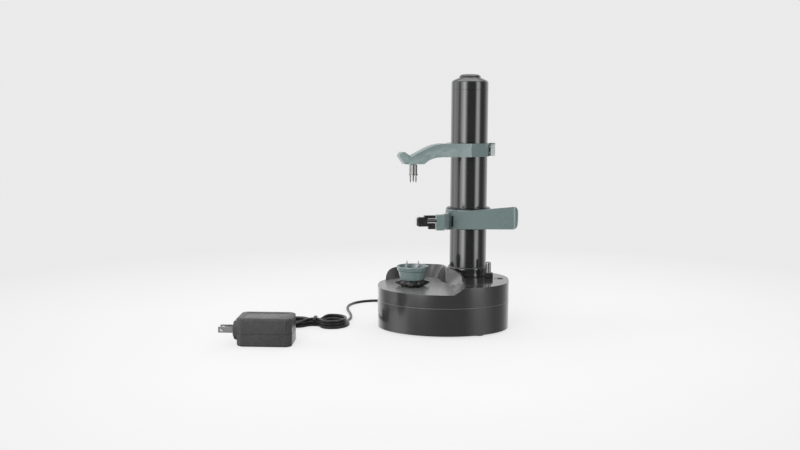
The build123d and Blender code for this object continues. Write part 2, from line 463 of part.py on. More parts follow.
for k in range(3):
    sx, sy = polar(HX, HY, 3.7, 90 + 120 * k)
    pr = pr + cyl(sx, sy, 173.0, 179.0, 0.9) + (Pos(sx, sy, 171.5) * Cone(0.12, 0.9, 3.0))
put("spindle_prongs", pr)

# ---------------------------------------------------------------- switch
guide = box(49.0, 58.8, 4.4, 13.0, DECK_Z, 62.6) - cyl(SWX, SWY, 50, 70, 3.27)
guide = chamfer(guide.edges().group_by(Axis.Z)[-1].filter_by(GeomType.LINE), 0.6)
put("post_guide", guide)
post = cyl(SWX, SWY, 47.2, 73.0, 3.2) + (Pos(SWX, SWY, 73.0) * Sphere(3.2)) & box(40, 70, -10, 30, 47.2, 75.4)
post = post + cyl(SWX, SWY, 50.0, 51.6, 4.6)
post = post - cyl(SWX, SWY, 46, 48.6, 2.4)
put("switch_post", post)
hs = Pos(SWX, SWY, 42.95) * Helix(pitch=1.25, height=4.9, radius=1.85)
put("post_spring", sweep(Plane(origin=hs @ 0, z_dir=hs % 0) * Circle(0.28), path=hs, is_frenet=True))
put("micro_switch", box(48.2, 58.8, 4.0, 13.6, 36.0, 42.6))
put("circuit_board", box(45.6, 69.0, -8.0, 14.5, 34.4, 36.0) & base_prism(3.2, 30, 40))
jack = along_jack(-11.5, -0.6, 5.5) - along_jack(-11.0, 1, 3.0)
put("dc_jack", jack)

# ---------------------------------------------------------------- spare blades, kept under the base
spares = []
for sx, sy in [(-64.5, -14.5), (-51.5, -14.5)]:
    tri = prism([(sx, sy), (sx, sy + 21), (sx + 1.2, sy + 21), (sx + 12.0, sy + 3.4), (sx + 12.0, sy)], FOOT_H - 1.0, FOOT_H + 0.15)
    tri = tri - cyl(sx + 3, sy + 2.4, 0, 4, 0.7)
    spares.append(tri)
put("spare_blades", *spares)

# ---------------------------------------------------------------- mains adapter and its lead
put("plug_barrel", along_jack(-10.2, 0.4, 2.75) - along_jack(-10.6, -2.0, 1.05))
over = along_jack(0.3, 13.0, 4.6)
cone = Pos(JX + JN[0] * 18.5, JY + JN[1] * 18.5, JZ) * Rot(0, 0, JANG) * Rot(0, 90, 0) * Cone(4.6, 2.3, 11.0)
put("plug_overmould", over + cone)
AD = dict(x0=-222.0, x1=-162.0, y0=-132.0, y1=-90.0, z1=31.0)
body = box(AD["x0"], AD["x1"], AD["y0"], AD["y1"], 0.0, AD["z1"])
body = chamfer(body.edges().filter_by(Axis.Z), 5.0)
body = chamfer(body.edges().group_by(Axis.Z)[-1], 1.6)
boss2 = prism([(AD["x0"] + 1, -126.0), (AD["x0"] + 1, -96.0), (AD["x0"] - 5.0, -100.0), (AD["x0"] - 5.0, -122.0)], 4.0, 27.0)
put("adapter_body", body + boss2)
pr1 = []
for yy in (-117.35, -104.65):
    b = box(AD["x0"] - 22.0, AD["x0"] - 5.0, yy - 0.75, yy + 0.75, 12.35, 18.65)
    b = b - (Pos(AD["x0"] - 18.6, yy, 15.5) * Rot(90, 0, 0) * Cylinder(1.6, 4))
    pr1.append(b)
put("adapter_prongs", *pr1)
RX, RY, RZ = -176.0, AD["y1"], 9.0
rel1 = Pos(RX, RY + 8.0, RZ) * Rot(-90, 0, 0) * Cone(4.2, 2.3, 16.0)
put("adapter_relief", rel1)


def cord(points, node):
    """Round lead of straight runs joined by tangent arcs, each as large as its runs allow."""
    v = [Vector(*p) for p in points]
    radii = []
    for i in range(1, len(v) - 1):
        a, b = v[i] - v[i - 1], v[i + 1] - v[i]
        half = math.radians(a.get_angle(b)) / 2
        radii.append(0.45 * min(a.length, b.length) / math.tan(half))
    path = FilletPolyline(*v, radius=radii)
    t = sweep(Plane(origin=path @ 0, z_dir=path % 0) * Circle(CORD_R), path=path)
    print(node, "length %.1f" % path.length, "volume/section*length %.4f" % (t.volume / (math.pi * CORD_R**2 * path.length)), "radii", [round(r, 1) for r in radii])
    put(node, t)
    return path.length


FZ = CORD_R + 0.05
J0 = (JX + JN[0] * 24.0, JY + JN[1] * 24.0, JZ)
CORD_A = [J0, (-44.6, 111.5, 11.5), (-54.5, 131.0, 4.6), (-72.0, 144.5, FZ), (-95.0, 146.0, FZ), (-114.0, 132.0, FZ), (-122.5, 108.0, FZ), (-121.0, 80.0, FZ), (-114.5, 53.0, FZ), (-111.0, 26.0, FZ), (-114.6, 2.0, 2.6)]
CORD_B = [(-188.2, -25.2, 2.6), (-201.6, -36.6, FZ), (-201.4, -48.0, FZ), (-193.2, -55.6, 1.9), (-184.0, -59.6, 4.4), (-177.4, -65.6, 7.4), (-176.0, -74.0, 9.0)]
LEN_A = cord(CORD_A, "adapter_cord_a")
LEN_B = cord(CORD_B, "adapter_cord_b")
HKX, HKY = -151.0, -12.0
hank = (Pos(HKX + 21.0, HKY) * Ellipse(19.5, 23.0)) + (Pos(HKX - 21.0, HKY) * Ellipse(19.5, 21.5)) + (Pos(HKX, HKY) * Rectangle(14, 16))
put("cord_hank", Pos(0, 0, 0.05) * extrude(hank, 11.0))
put("hank_tie", (Pos(HKX, HKY, 5.6) * Box(5.0, 19.6, 11.15)) - (Pos(HKX, HKY, 5.55) * Box(8.0, 17.04, 11.02)))

for node, shape in OUT.items():
    export_step(shape, "parts/%s.step" % node)
print(len(OUT), "nodes")
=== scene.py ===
import json
import math
import random

import bmesh
import bpy
from mathutils import Matrix, Vector

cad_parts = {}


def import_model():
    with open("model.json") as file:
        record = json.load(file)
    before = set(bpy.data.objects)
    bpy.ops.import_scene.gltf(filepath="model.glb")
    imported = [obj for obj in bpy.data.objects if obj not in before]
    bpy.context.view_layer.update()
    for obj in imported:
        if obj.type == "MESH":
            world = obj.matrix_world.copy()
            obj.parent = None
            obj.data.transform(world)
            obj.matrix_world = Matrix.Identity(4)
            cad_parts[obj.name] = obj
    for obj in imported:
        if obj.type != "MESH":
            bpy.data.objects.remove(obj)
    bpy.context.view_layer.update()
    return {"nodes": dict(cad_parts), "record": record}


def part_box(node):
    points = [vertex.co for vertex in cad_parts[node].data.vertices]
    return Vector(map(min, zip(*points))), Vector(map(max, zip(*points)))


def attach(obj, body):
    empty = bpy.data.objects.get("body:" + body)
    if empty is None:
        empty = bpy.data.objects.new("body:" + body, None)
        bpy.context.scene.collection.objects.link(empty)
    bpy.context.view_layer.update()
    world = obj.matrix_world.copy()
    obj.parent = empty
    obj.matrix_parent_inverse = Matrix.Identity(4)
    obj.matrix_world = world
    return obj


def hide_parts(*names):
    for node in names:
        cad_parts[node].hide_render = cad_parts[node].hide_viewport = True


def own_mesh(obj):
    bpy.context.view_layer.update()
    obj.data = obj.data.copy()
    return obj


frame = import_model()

NODES = frame["nodes"]
BODY_OF = {n: b for b, ns in frame["record"]["behaviour"]["bodies"].items() for n in ns}
SLOT_OF = {s["node"]: s["material_slot"] for s in frame["record"]["subparts"]}
MM = 0.001
SHIFT = -5.45          # construction frame of the model to the row frame, mm along X


def P(x, y, z):
    """A point of the construction frame, in mm, as metres in the row frame."""
    return Vector(((x + SHIFT) * MM, y * MM, z * MM))


scene = bpy.context.scene
scene.view_settings.view_transform = "Standard"


# ------------------------------------------------------------------ camera
def camera():
    pitch, yaw, roll = math.radians(-6.31), math.radians(2.35), math.radians(0.35)
    right = Vector((math.cos(yaw), math.sin(yaw), 0.0))
    forward = Vector((-math.sin(yaw) * math.cos(pitch), math.cos(yaw) * math.cos(pitch), math.sin(pitch)))
    up = right.cross(forward)
    r = math.cos(roll) * right + math.sin(roll) * up
    u = -math.sin(roll) * right + math.cos(roll) * up
    cam = bpy.data.objects.new("camera", bpy.data.cameras.new("camera"))
    scene.collection.objects.link(cam)
    m = Matrix((r, u, -forward)).transposed().to_4x4()
    m.translation = Vector((-0.00545, -1.25475, 0.258))
    cam.matrix_world = m
    cam.data.lens, cam.data.sensor_width = 48.24, 36.0
    cam.data.clip_start, cam.data.clip_end = 0.02, 60.0
    scene.camera = cam


camera()


# ------------------------------------------------------------------ node helpers
class Mat:
    """Small builder for node materials."""

    def __init__(self, name):
        self.m = bpy.data.materials.new(name)
        self.m.use_nodes = True
        self.t = self.m.node_tree
        self.t.nodes.clear()
        self.out = self.t.nodes.new("ShaderNodeOutputMaterial")
        self.b = self.t.nodes.new("ShaderNodeBsdfPrincipled")
        self.t.links.new(self.b.outputs[0], self.out.inputs[0])
        self.co = self.t.nodes.new("ShaderNodeTexCoord").outputs["Object"]
        self.geo = self.t.nodes.new("ShaderNodeNewGeometry")

    def node(self, kind, **props):
        n = self.t.nodes.new(kind)
        for k, v in props.items():
            setattr(n, k, v)
        return n

    def put(self, value, socket):
        if isinstance(value, bpy.types.NodeSocket):
            self.t.links.new(value, socket)
        else:
            socket.default_value = value

    def mapped(self, scale, rotation=(0, 0, 0), location=(0, 0, 0)):
        n = self.node("ShaderNodeMapping")
        self.put(self.co, n.inputs["Vector"])
        n.inputs["Scale"].default_value = scale
        n.inputs["Rotation"].default_value = rotation
        n.inputs["Location"].default_value = location
        return n.outputs[0]

    def noise(self, scale, detail=2.0, rough=0.5, vec=None, distortion=0.0):
        n = self.node("ShaderNodeTexNoise")
        self.put(vec if vec is not None else self.co, n.inputs["Vector"])
        n.inputs["Scale"].default_value = scale
        n.inputs["Detail"].default_value = detail
        n.inputs["Roughness"].default_value = rough
        n.inputs["Distortion"].default_value = distortion
        return n.outputs["Fac"]

    def voronoi(self, scale, feature="F1", vec=None, out="Distance"):
        n = self.node("ShaderNodeTexVoronoi", feature=feature)
        self.put(vec if vec is not None else self.co, n.inputs["Vector"])
        n.inputs["Scale"].default_value = scale
        return n.outputs[out]

    def ramp(self, fac, a, b, lo=0.0, hi=1.0):
        """fac going from a to b gives lo to hi, clamped."""
        n = self.node("ShaderNodeMapRange")
        n.clamp = True
        self.put(fac, n.inputs["Value"])
        for key, v in (("From Min", a), ("From Max", b), ("To Min", lo), ("To Max", hi)):
            n.inputs[key].default_value = v
        return n.outputs[0]

    def math(self, op, a, b=0.0):
        n = self.node("ShaderNodeMath", operation=op)
        self.put(a, n.inputs[0])
        self.put(b, n.inputs[1])
        return n.outputs[0]

    def mix(self, fac, a, b, blend="MIX"):
        n = self.node("ShaderNodeMix", data_type="RGBA", blend_type=blend)
        self.put(fac, n.inputs["Factor"])
        self.put((*a, 1.0) if isinstance(a, tuple) else a, n.inputs["A"])
        self.put((*b, 1.0) if isinstance(b, tuple) else b, n.inputs["B"])
        return n.outputs["Result"]

    def bump(self, height, strength, distance, normal=None):
        n = self.node("ShaderNodeBump")
        n.inputs["Strength"].default_value = strength
        n.inputs["Distance"].default_value = distance
        self.put(height, n.inputs["Height"])
        if normal is not None:
            self.put(normal, n.inputs["Normal"])
        return n.outputs[0]

    def set(self, **kw):
        names = {"color": "Base Color", "rough": "Roughness", "metal": "Metallic", "ior": "IOR", "normal": "Normal",
                 "coat": "Coat Weight", "coat_rough": "Coat Roughness", "sub": "Subsurface Weight", "spec": "Specular IOR Level",
                 "sheen": "Sheen Weight", "sheen_rough": "Sheen Roughness", "aniso": "Anisotropic"}
        for k, v in kw.items():
            self.put((*v, 1.0) if isinstance(v, tuple) and len(v) == 3 else v, self.b.inputs[names[k]])
        return self

    def edges(self, lo=0.52, hi=0.60):
        """1 on raised edges, where handling rubs the finish."""
        return self.ramp(self.geo.outputs["Pointiness"], lo, hi)

    def up(self, a=0.75, b=0.95):
        """1 on faces that look up at rest."""
        n = self.node("ShaderNodeSeparateXYZ")
        self.put(self.geo.outputs["Normal"], n.inputs[0])
        return self.ramp(n.outputs["Z"], a, b)


def tone(c, k):
    return tuple(min(1.0, v * k) for v in c)


def moulded(name, color, rough, grain=0.10, grain_scale=1500.0, smudge=0.06, wear=None, coat=0.0, coat_rough=0.1, spec=0.5, up_rough=None, low_rough=None, painted_sheen_color=None, flow=0.05, scuffs=0.10, rubs=(0.52, 0.60)):
    """Injection-moulded plastic: fine grain, faint flow marks, handling smudges, rubbed edges, and, where a sheen
    colour is given, a painted sheen on the low up-facing dish floor.
    """
    m = Mat(name)
    patches = m.noise(28.0, 4.0, 0.6)
    flowing = m.noise(9.0, 3.0, 0.55, m.mapped((1.0, 1.0, 3.5)), 0.6)
    base = m.mix(m.ramp(flowing, 0.3, 0.7), tone(color, 1 - flow), tone(color, 1 + flow))
    fine = m.noise(grain_scale, 3.0, 0.6)
    base = m.mix(m.ramp(fine, 0.35, 0.65, 0.0, 0.35), base, tone(color, 1.12))
    r = m.ramp(patches, 0.32, 0.72, rough - smudge * 0.5, rough + smudge)
    if up_rough is not None:
        r2 = m.ramp(patches, 0.32, 0.72, up_rough - smudge * 0.3, up_rough + smudge * 0.6)
        u = m.up()
        if low_rough is not None:
            sep = m.node("ShaderNodeSeparateXYZ")
            m.put(m.co, sep.inputs[0])
            r2 = m.math("ADD", r2, m.ramp(sep.outputs["Z"], 0.0545, 0.0520, 0.0, low_rough - up_rough))
            # painted sheen: up-facing faces below the deck top (the dish floor) get a lighter base colour that stands
            # in for the bright reflection they show
            if painted_sheen_color is not None:
                base = m.mix(m.math("MULTIPLY", u, m.ramp(sep.outputs["Z"], 0.0545, 0.0520, 0.0, 1.0)), base, painted_sheen_color)
        r = m.math("ADD", m.math("MULTIPLY", r2, u), m.math("MULTIPLY", r, m.math("SUBTRACT", 1.0, u)))
    if wear:
        rub = m.math("MULTIPLY", m.edges(*rubs), m.ramp(m.noise(240.0, 3.0, 0.7), 0.35, 0.6))
        base = m.mix(m.math("MULTIPLY", rub, 0.55), base, wear)
        r = m.math("ADD", r, m.math("MULTIPLY", rub, 0.10))
    scuff = m.noise(1.0, 2.0, 0.7, m.mapped((900.0, 60.0, 340.0), (0.5, 0.3, 0.8)))
    r = m.math("ADD", r, m.ramp(scuff, 0.66, 0.80, 0.0, scuffs))
    normal = m.bump(fine, grain, 0.00006)
    m.set(color=base, rough=r, normal=normal, coat=coat, coat_rough=coat_rough, spec=spec)
    return m.m


def brushed(name, color, rough, scale=(2600.0, 2600.0, 60.0), strength=0.12, stain=0.05, spots=0.0):
    """Turned or drawn metal with fine lines, a few stains and darker crevices."""
    m = Mat(name)
    lines = m.noise(1.0, 3.0, 0.65, m.mapped(scale))
    patches = m.noise(55.0, 4.0, 0.6)
    c = m.mix(m.ramp(patches, 0.35, 0.75), color, tone(color, 1 - stain * 3))
    c = m.mix(m.ramp(m.geo.outputs["Pointiness"], 0.40, 0.50, 0.65, 0.0), c, tone(color, 0.25))
    if spots:
        c = m.mix(m.ramp(m.voronoi(900.0), 0.12, 0.22, spots, 0.0), c, tone(color, 0.3))
    r = m.math("ADD", m.ramp(patches, 0.3, 0.75, rough - 0.03, rough + stain), m.ramp(lines, 0.35, 0.65, 0.0, 0.08))
    m.set(color=c, metal=1.0, rough=r, normal=m.bump(lines, strength, 0.00002))
    return m.m


# ------------------------------------------------------------------ materials
MATS = {}


def column_black():
    """Glossy black of the column and its cap, with fine upright rub marks from the arms sliding on it."""
    m = Mat("column_black")
    c = (0.0105, 0.0108, 0.0112)
    streaks = m.noise(1.0, 4.0, 0.7, m.mapped((1500.0, 1500.0, 14.0)))
    wide = m.noise(1.0, 2.0, 0.6, m.mapped((260.0, 260.0, 9.0)))
    patches = m.noise(24.0, 4.0, 0.6)
    dust = m.voronoi(520.0)
    col = m.mix(m.ramp(streaks, 0.60, 0.80, 0.0, 0.6), c, (0.030, 0.030, 0.031))
    col = m.mix(m.ramp(dust, 0.035, 0.055, 0.35, 0.0), col, (0.10, 0.10, 0.10))
    r = m.math("ADD", m.ramp(patches, 0.3, 0.75, 0.085, 0.15), m.ramp(wide, 0.55, 0.8, 0.0, 0.05))
    n = m.bump(streaks, 0.05, 0.00003)
    n = m.bump(m.noise(20.0, 2.0), 0.05, 0.0006, n)
    m.set(color=col, rough=r, normal=n, spec=1.0)
    return m.m


def rubber(name, color, rough=0.5):
    m = Mat(name)
    fine = m.noise(2200.0, 3.0, 0.7)
    lint = m.noise(1.0, 2.0, 0.6, m.mapped((700.0, 1900.0, 900.0), (0.4, 0.2, 0.9)))
    c = m.mix(m.ramp(m.noise(60.0, 3.0), 0.3, 0.7), tone(color, 0.85), tone(color, 1.2))
    c = m.mix(m.ramp(lint, 0.70, 0.80, 0.0, 0.35), c, tone(color, 4.0))
    r = m.ramp(m.noise(90.0, 3.0), 0.3, 0.7, rough - 0.07, rough + 0.09)
    m.set(color=c, rough=r, normal=m.bump(fine, 0.16, 0.00005), sheen=0.03, sheen_rough=0.5, spec=0.35)
    return m.m


def textured(name, color, rough, scale=1700.0, strength=0.35):
    """Spark-eroded case texture."""
    m = Mat(name)
    cells = m.voronoi(scale, "SMOOTH_F1")
    fine = m.noise(scale * 1.7, 3.0, 0.7)
    h = m.math("ADD", cells, m.math("MULTIPLY", fine, 0.5))
    c = m.mix(m.ramp(m.noise(35.0, 4.0, 0.6), 0.3, 0.7), tone(color, 0.93), tone(color, 1.08))
    c = m.mix(m.ramp(h, 0.35, 0.9, 0.0, 0.2), c, tone(color, 1.2))
    rub = m.math("MULTIPLY", m.edges(), m.ramp(m.noise(300.0, 2.0), 0.35, 0.6))
    c = m.mix(m.math("MULTIPLY", rub, 0.5), c, tone(color, 2.0))
    r = m.math("SUBTRACT", m.ramp(m.noise(40.0, 3.0), 0.3, 0.7, rough - 0.04, rough + 0.06), m.math("MULTIPLY", rub, 0.12))
    m.set(color=c, rough=r, normal=m.bump(h, strength, 0.00006), spec=0.4)
    return m.m


def circuit():
    """Green board with copper tracks and a fine weave."""
    m = Mat("board")
    bricks = m.node("ShaderNodeTexBrick")
    m.put(m.mapped((1.0, 1.0, 1.0), (0, 0, 0.4)), bricks.inputs["Vector"])
    bricks.inputs["Scale"].default_value = 190.0
    bricks.inputs["Mortar Size"].default_value = 0.012
    weave = m.noise(1.0, 1.0, 0.5, m.mapped((2400.0, 300.0, 600.0)))
    c = m.mix(bricks.outputs["Fac"], (0.012, 0.085, 0.035), (0.05, 0.19, 0.07))
    c = m.mix(m.ramp(weave, 0.4, 0.6, 0.0, 0.3), c, (0.03, 0.13, 0.05))
    m.set(color=c, rough=m.ramp(weave, 0.3, 0.7, 0.3, 0.42), normal=m.bump(bricks.outputs["Fac"], 0.2, 0.00005))
    return m.m


def make_materials():
    MATS["column_black"] = column_black()
    # gloss_black's lighter dish-floor colour is a painted sheen, not the plastic's own tone
    MATS["gloss_black"] = moulded("gloss_black", (0.021, 0.021, 0.0217), 0.15, grain=0.04, grain_scale=1900.0, smudge=0.012, wear=(0.065, 0.065, 0.065), up_rough=0.10, low_rough=0.27, painted_sheen_color=(0.105, 0.105, 0.107), spec=0.9, flow=0.03, scuffs=0.0, rubs=(0.60, 0.72))
    MATS["hub_black"] = moulded("hub_black", (0.009, 0.009, 0.0095), 0.27, grain=0.05, wear=(0.04, 0.04, 0.04), smudge=0.04, spec=0.4)
    MATS["black_plastic"] = moulded("black_plastic", (0.0075, 0.0075, 0.008), 0.26, grain=0.06, smudge=0.03, wear=(0.028, 0.028, 0.028), spec=0.45)
    MATS["inner_plastic"] = moulded("inner_plastic", (0.09, 0.09, 0.092), 0.5, grain=0.22, grain_scale=1100.0)
    MATS["teal_plastic"] = moulded("teal_plastic", (0.086, 0.119, 0.1165), 0.28, grain=0.05, grain_scale=1900.0, smudge=0.03, wear=(0.17, 0.22, 0.21), spec=1.0, flow=0.03, scuffs=0.02, rubs=(0.57, 0.68))
    MATS["grey_plastic"] = moulded("grey_plastic", (0.205, 0.226, 0.226), 0.34, grain=0.10, wear=(0.30, 0.32, 0.32))
    MATS["gear_plastic"] = moulded("gear_plastic", (0.66, 0.63, 0.55), 0.42, grain=0.06, smudge=0.1, flow=0.03)
    MATS["steel"] = brushed("steel", (0.32, 0.32, 0.316), 0.34)
    MATS["blade_steel"] = brushed("blade_steel", (0.48, 0.49, 0.495), 0.26, (300.0, 300.0, 5200.0), 0.10, 0.04)
    MATS["bright_metal"] = brushed("bright_metal", (0.30, 0.30, 0.296), 0.32, (3000.0, 3000.0, 90.0), 0.06, 0.05)
    MATS["bronze"] = brushed("bronze", (0.55, 0.36, 0.18), 0.38, (900.0, 900.0, 900.0), 0.25, 0.08, 0.6)
    # a darker copy of bronze for the hub bush: painted shade for the shadowed gap under the hub
    MATS["painted_shade_bronze"] = brushed("painted_shade_bronze", (0.10, 0.075, 0.05), 0.45, (900.0, 900.0, 900.0), 0.25, 0.08, 0.6)
    # lighter grey for the seam bead: a painted highlight along the joint of the two shells
    MATS["painted_seam_highlight"] = moulded("painted_seam_highlight", (0.075, 0.075, 0.076), 0.24, grain=0.04, smudge=0.02)
    MATS["board"] = circuit()
    MATS["foot_rubber"] = rubber("foot_rubber", (0.030, 0.030, 0.030), 0.72)
    MATS["cord_rubber"] = rubber("cord_rubber", (0.0075, 0.0075, 0.008), 0.36)
    MATS["adapter_plastic"] = textured("adapter_plastic", (0.019, 0.019, 0.0195), 0.40, 2500.0, 0.12)


make_materials()


# ------------------------------------------------------------------ mesh helpers
def smooth_mesh(me, angle=35.0):
    for name in ("custom_normal",):
        a = me.attributes.get(name)
        if a:
            me.attributes.remove(a)
    me.shade_smooth()
    me.set_sharp_from_angle(angle=math.radians(angle))


def soften(bm, width, angle=32.0, segments=2, clamp=True, keep=None):
    """Break every sharp edge of a mesh by width metres."""
    edges = [e for e in bm.edges if len(e.link_faces) == 2 and e.calc_face_angle(0.0) > math.radians(angle) and (keep is None or keep(e))]
    if edges:
        bmesh.ops.bevel(bm, geom=edges, offset=width, offset_type="OFFSET", segments=segments, profile=0.5, affect="EDGES", clamp_overlap=clamp, loop_slide=True)


def new_piece(name, bm, body, slot, material=None, angle=35.0):
    me = bpy.data.meshes.new(name)
    bmesh.ops.recalc_face_normals(bm, faces=bm.faces)
    bm.to_mesh(me)
    bm.free()
    smooth_mesh(me, angle)
    ob = bpy.data.objects.new(name, me)
    scene.collection.objects.link(ob)
    me.materials.append(MATS[material or slot])
    even = ob.modifiers.new("even_normals", "WEIGHTED_NORMAL")
    even.mode, even.weight, even.keep_sharp = "FACE_AREA", 50, True
    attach(ob, body)
    return ob


def skin(node, width, angle=32.0, segments=2, clamp=True, material=None, weld=3e-6, keep=None, flat=0.4):
    """A CAD node's own shape with its moulded or machined edges broken."""
    bm = bmesh.new()
    bm.from_mesh(NODES[node].data)
    bmesh.ops.remove_doubles(bm, verts=bm.verts, dist=weld)
    bmesh.ops.dissolve_degenerate(bm, edges=bm.edges, dist=2e-6)
    if flat:
        bmesh.ops.dissolve_limit(bm, angle_limit=math.radians(flat), verts=bm.verts, edges=bm.edges)
    soften(bm, width * MM, angle, segments, clamp, keep)
    slot = SLOT_OF[node]
    ob = new_piece(node + ".finish", bm, BODY_OF[node], slot, material)
    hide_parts(node)
    return ob


def lathe(pts, seg=72):
    """bmesh turned about Z from closed (r, z) points in mm."""
    bm = bmesh.new()
    rings = []
    for r, z in pts:
        if r < 1e-6:
            rings.append([bm.verts.new((0, 0, z * MM))])
        else:
            rings.append([bm.verts.new((r * MM * math.cos(2 * math.pi * k / seg), r * MM * math.sin(2 * math.pi * k / seg), z * MM)) for k in range(seg)])
    n = len(rings)
    for i in range(n):
        a, b = rings[i], rings[(i + 1) % n]
        if len(a) == 1 and len(b) == 1:
            continue
        for k in range(seg):
            q = (k + 1) % seg
            if len(a) == 1:
                bm.faces.new((a[0], b[q], b[k]))
            elif len(b) == 1:
                bm.faces.new((a[k], a[q], b[0]))
            else:
                bm.faces.new((a[k], a[q], b[q], b[k]))
    return bm


def loft(rings, cap=True):
    """bmesh through closed rings of the same number of points (metres)."""
    bm = bmesh.new()
    vs = [[bm.verts.new(p) for p in ring] for ring in rings]
    n = len(vs[0])
    for a, b in zip(vs, vs[1:]):
        for k in range(n):
            q = (k + 1) % n
            bm.faces.new((a[k], a[q], b[q], b[k]))
    if cap:
        bm.faces.new(vs[0][::-1])
        bm.faces.new(vs[-1])
    return bm


# ------------------------------------------------------------------ adapter lead
LEAD_R = 1.7
LEAD_ROUTE = [
    (-38.15, 90.62, 14.00), (-44.6, 111.5, 11.5), (-54.5, 131.0, 4.6), (-72.0, 144.5, 1.8), (-95.0, 146.0, 1.8), (-114.0, 132.0, 1.8),
    (-122.5, 108.0, 1.8), (-121.0, 80.0, 1.8), (-114.5, 53.0, 1.8), (-111.0, 26.0, 1.8), (-114.6, 2.0, 2.6), (-111.4, -8.1, 1.9),
    (-111.9, -17.4, 1.9), (-115.7, -26.3, 1.9), (-122.7, -32.5, 1.9), (-131.3, -34.1, 1.9), (-140.0, -30.9, 1.8), (-145.4, -17.2, 1.8),
    (-156.6, -17.1, 1.8), (-163.7, -26.9, 1.9), (-170.9, -29.4, 1.8), (-179.0, -27.4, 1.9), (-185.0, -21.2, 1.9), (-187.5, -12.0, 1.8),
    (-185.0, -2.8, 1.8), (-179.0, 3.5, 1.8), (-170.9, 5.4, 1.9), (-163.9, 2.7, 1.9), (-156.6, -6.8, 1.8), (-145.4, -6.9, 1.8),
    (-139.9, 6.8, 1.9), (-131.3, 10.0, 1.9), (-122.2, 6.4, 1.8), (-116.7, -1.8, 1.9), (-114.9, -12.0, 1.9), (-117.2, -21.8, 1.8),
    (-123.2, -28.6, 1.8), (-131.0, -30.5, 1.9), (-138.0, -27.8, 1.9), (-145.4, -13.8, 1.8), (-156.6, -13.7, 1.8), (-165.7, -23.8, 1.9),
    (-171.2, -26.1, 1.8), (-177.4, -24.4, 1.9), (-182.0, -19.3, 1.9), (-184.1, -12.0, 1.9), (-182.1, -4.6, 1.8), (-177.5, 0.5, 1.8),
    (-171.2, 1.8, 1.9), (-165.6, -0.1, 1.8), (-156.6, -10.2, 1.8), (-145.4, -10.3, 1.8), (-137.3, 2.7, 5.2), (-130.9, 4.7, 5.2),
    (-124.0, 2.8, 5.3), (-118.9, -3.2, 5.3), (-116.9, -12.0, 5.3), (-118.7, -20.9, 5.3), (-123.9, -27.1, 5.2), (-130.9, -29.1, 5.3),
    (-137.4, -26.8, 5.3), (-145.4, -13.8, 5.2), (-156.6, -13.7, 5.2), (-165.7, -23.8, 5.3), (-171.2, -25.4, 5.3), (-177.3, -24.2, 5.3),
    (-182.3, -19.5, 5.2), (-184.5, -12.0, 5.2), (-183.0, -4.0, 5.2), (-178.0, 1.6, 5.3), (-171.1, 3.5, 5.3), (-164.7, 1.3, 5.3),
    (-156.6, -10.2, 5.2), (-145.4, -10.3, 5.2), (-139.2, 5.7, 5.3), (-131.2, 8.8, 5.3), (-122.3, 6.2, 5.2), (-116.1, -1.5, 5.3),
    (-113.5, -12.0, 5.2), (-115.8, -22.7, 5.3), (-122.2, -30.5, 5.3), (-131.2, -32.9, 5.3), (-139.3, -29.8, 5.2), (-145.4, -17.2, 5.2),
    (-156.6, -17.1, 5.2), (-163.8, -26.8, 5.3), (-171.0, -29.0, 5.3), (-178.9, -27.4, 5.3), (-185.5, -21.5, 5.2), (-188.7, -12.0, 5.3),
    (-186.4, -1.9, 5.2), (-179.7, 4.9, 5.3), (-170.8, 7.0, 5.2), (-163.0, 4.1, 5.2), (-156.6, -6.8, 5.2), (-145.4, -6.9, 5.2),
    (-139.4, 6.1, 8.6), (-131.2, 9.0, 8.6), (-122.4, 6.1, 8.6), (-116.3, -1.6, 8.6), (-114.1, -12.0, 8.6), (-116.2, -22.5, 8.6),
    (-122.2, -30.3, 8.6), (-131.2, -33.3, 8.6), (-139.6, -30.3, 8.6), (-145.4, -15.6, 8.6), (-156.6, -15.6, 8.6), (-163.0, -26.8, 8.2),
    (-172.4, -33.2, 5.0), (-182.0, -32.6, 2.4), (-192.2, -32.2, 1.9), (-201.6, -36.6, 1.8), (-201.4, -48.0, 1.8), (-193.2, -55.6, 1.9),
    (-184.0, -59.6, 4.4), (-177.4, -65.6, 7.4), (-176.0, -74.0, 9.0),
]


def lead():
    cu = bpy.data.curves.new("adapter_lead", "CURVE")
    cu.dimensions = "3D"
    sp = cu.splines.new("NURBS")
    sp.points.add(len(LEAD_ROUTE) - 1)
    for p, q in zip(sp.points, LEAD_ROUTE):
        p.co = (*P(*q), 1.0)
    sp.order_u = 3
    sp.use_endpoint_u = True
    sp.resolution_u = 6
    cu.bevel_depth = LEAD_R * MM
    cu.bevel_resolution = 4
    cu.use_fill_caps = True
    ob = bpy.data.objects.new("adapter_lead", cu)
    scene.collection.objects.link(ob)
    cu.materials.append(MATS["cord_rubber"])
    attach(ob, "base")
    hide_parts("adapter_cord_a", "adapter_cord_b", "cord_hank")
    return ob


LEAD = lead()

# the jack's axis: where it meets the shell, and its outward direction
JACK = (-30.0, 7.5 + 65.75 * math.sqrt(1 - (30.0 / 77.0) ** 2), 14.0)
_j = Vector((-30.0 / 77.0 ** 2, (JACK[1] - 7.5) / 65.75 ** 2, 0.0)).normalized()


def place(bm, origin, axis):
    """Turn a shape made about +Z so that its Z runs along axis from origin."""
    rot = Vector(axis).to_track_quat("Z", "Y").to_matrix().to_4x4()
    bmesh.ops.transform(bm, matrix=Matrix.Translation(origin) @ rot, verts=bm.verts)


def ribbed(z0, z1, r0, r1, n, depth, hole):
    """Profile of a strain relief: rings that get narrower towards the tip."""
    pts = []
    for k in range(n):
        a, b = k / n, (k + 0.62) / n
        ra, rb = r0 + (r1 - r0) * a, r0 + (r1 - r0) * b
        rc = r0 + (r1 - r0) * (k + 1) / n
        pts += [(ra, z0 + (z1 - z0) * a), (rb, z0 + (z1 - z0) * b)]
        if k < n - 1:
            pts += [(rb - depth, z0 + (z1 - z0) * (b + 0.02)), (rc - depth, z0 + (z1 - z0) * ((k + 1) / n - 0.02))]
    return pts


